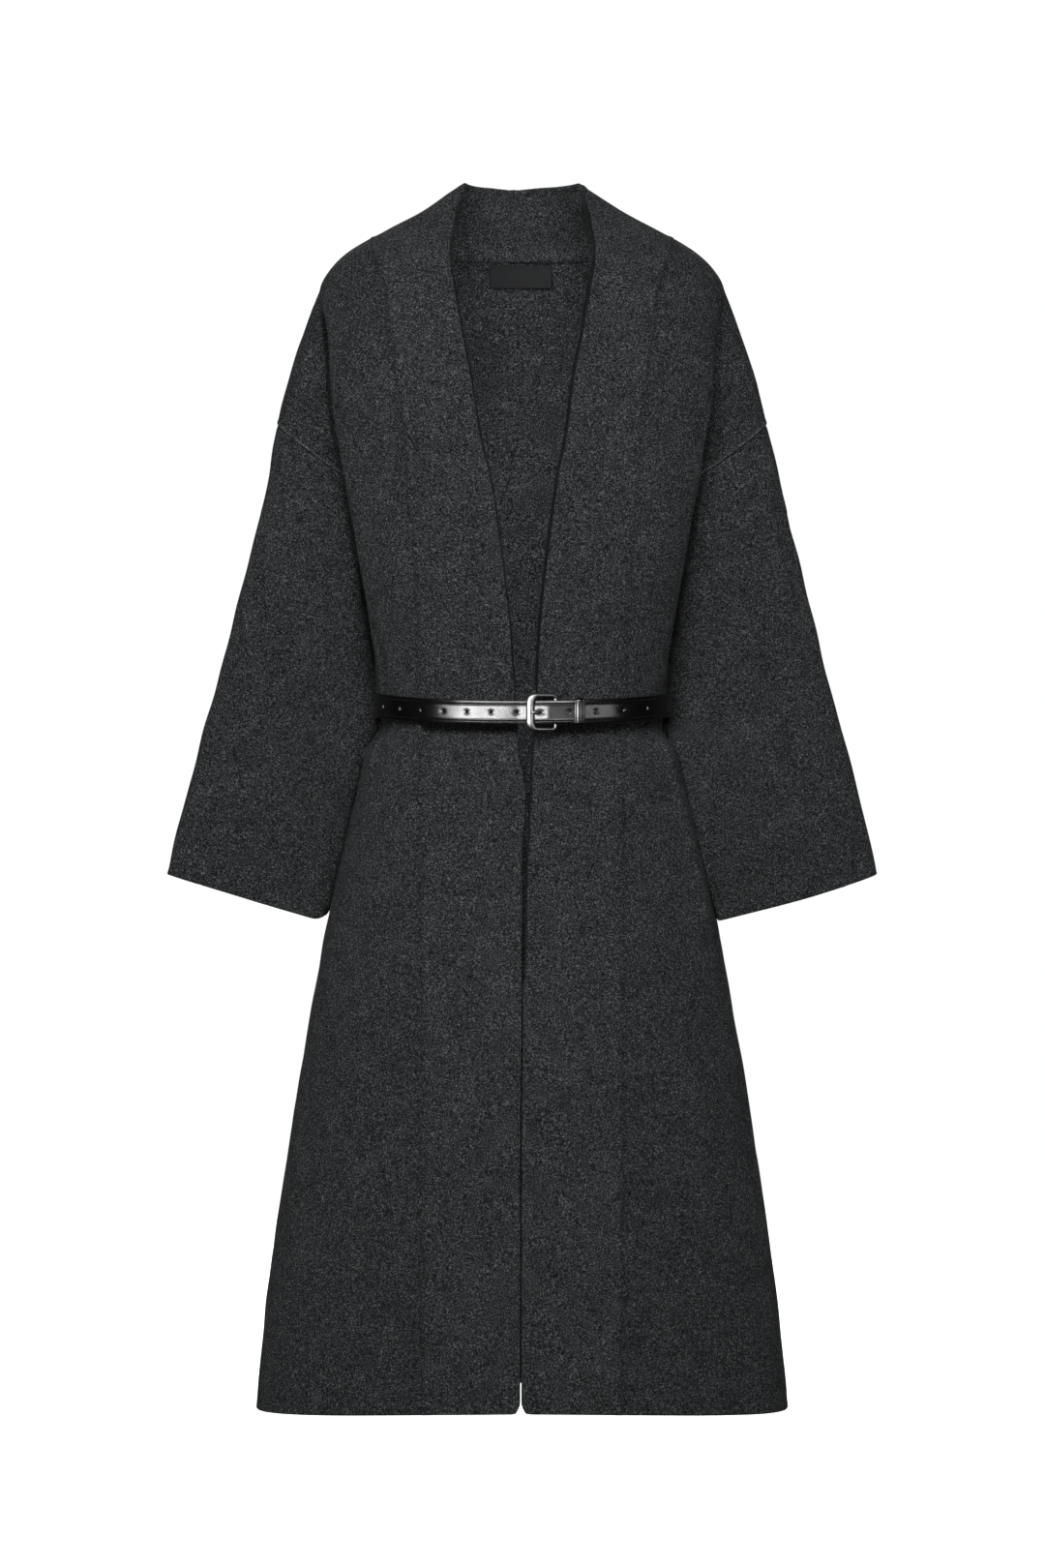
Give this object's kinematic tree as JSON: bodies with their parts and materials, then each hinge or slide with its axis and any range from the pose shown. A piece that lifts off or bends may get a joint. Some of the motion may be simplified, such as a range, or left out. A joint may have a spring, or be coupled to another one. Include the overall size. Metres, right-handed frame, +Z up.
{
  "type": "long knit coat",
  "caption": "Long open-front knit coat with a shawl band that stands as a collar, drop shoulders, wide sleeves and a narrow buckled leather belt, filled out as worn.",
  "frame": {"origin": "on the middle plane at shoulder height, between the tops of the shoulders, where the coat hangs on its wearer", "axes": "+Z up, +X to the wearer's left, +Y to the wearer's back; the open front faces -Y"},
  "size_m": [0.7, 0.2379, 1.2092],
  "materials": {
    "knit": "charcoal melange brushed knit",
    "leather": "glossy black leather",
    "metal": "polished",
    "label": "bare black woven label"
  },
  "bodies": {
    "root": {"back": "knit", "front_left": "knit", "front_right": "knit", "collar_left": "knit", "collar_right": "knit", "band_left": "knit", "band_right": "knit", "sleeve_left": "knit", "sleeve_right": "knit", "belt_strap": "leather", "belt_keeper": "leather", "buckle_frame": "metal", "buckle_prong": "metal", "neck_label": "label"}
  },
  "joints": []
}
